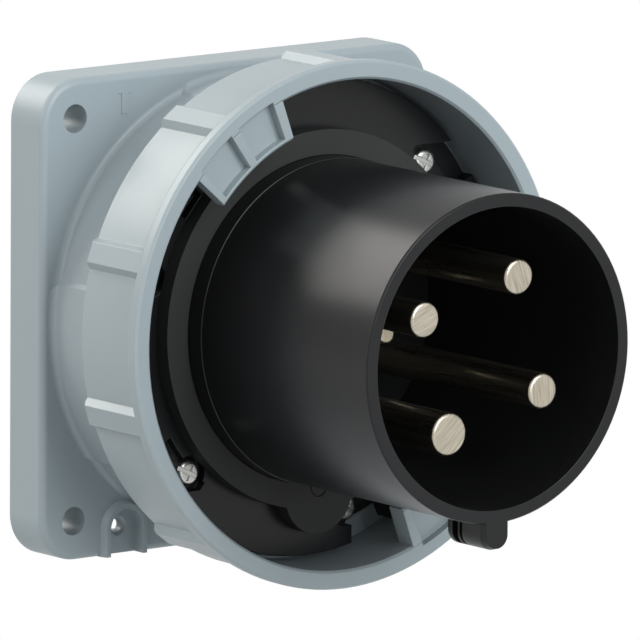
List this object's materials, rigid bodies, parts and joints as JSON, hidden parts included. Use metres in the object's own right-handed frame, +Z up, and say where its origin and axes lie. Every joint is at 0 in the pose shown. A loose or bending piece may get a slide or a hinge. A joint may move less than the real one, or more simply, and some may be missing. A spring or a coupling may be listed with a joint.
{
  "type": "cee panel inlet",
  "caption": "Straight industrial panel inlet: square flange, turning bayonet ring, round shroud with key nose, contact pins, and terminals behind the panel.",
  "frame": {"origin": "centre of the four fixing holes on the flange's rear face", "axes": "+Z up with the key nose at the bottom, -Y along the pins out of the panel, +X to the right as seen from the front"},
  "size_m": [0.1486, 0.1669, 0.1486],
  "materials": {
    "housing_grey": "fine satin moulded polyamide, grey",
    "ring_grey": "fine satin moulded polyamide, grey",
    "insert_black": "satin moulded polyamide, black",
    "carrier_black": "satin moulded polyamide, black",
    "gasket_black": "matt rubber",
    "seal_black": "matt rubber",
    "screw_steel": "bright zinc-plated steel",
    "clamp_steel": "dull zinc-plated steel",
    "contact_nickel": "nickel-plated brass, turned"
  },
  "bodies": {
    "inlet": {"flange_housing": "housing_grey", "insert_body": "insert_black", "contact_insert": "insert_black", "terminal_carrier": "carrier_black", "front_gasket": "gasket_black", "insert_seal": "seal_black", "panel_gasket": "seal_black", "phase_pin_seals": "seal_black", "earth_pin_seal": "seal_black", "pilot_pin_seal": "seal_black", "insert_screws": "screw_steel", "carrier_screws": "screw_steel", "phase_pin_1": "contact_nickel", "phase_pin_2": "contact_nickel", "phase_pin_3": "contact_nickel", "earth_pin": "contact_nickel", "pilot_pin": "contact_nickel", "phase_terminal_screws_1": "clamp_steel", "phase_terminal_screws_2": "clamp_steel", "phase_terminal_screws_3": "clamp_steel", "earth_terminal_screws": "clamp_steel", "pilot_terminal_screw": "clamp_steel"},
    "ring": {"locking_ring": "ring_grey"}
  },
  "joints": [
    {"name": "ring_turn", "type": "hinge", "parent": "inlet", "child": "ring", "pos_m": [0, -0.0523, 0], "axis": [0, -1, 0], "range_deg": [0, 45]}
  ]
}
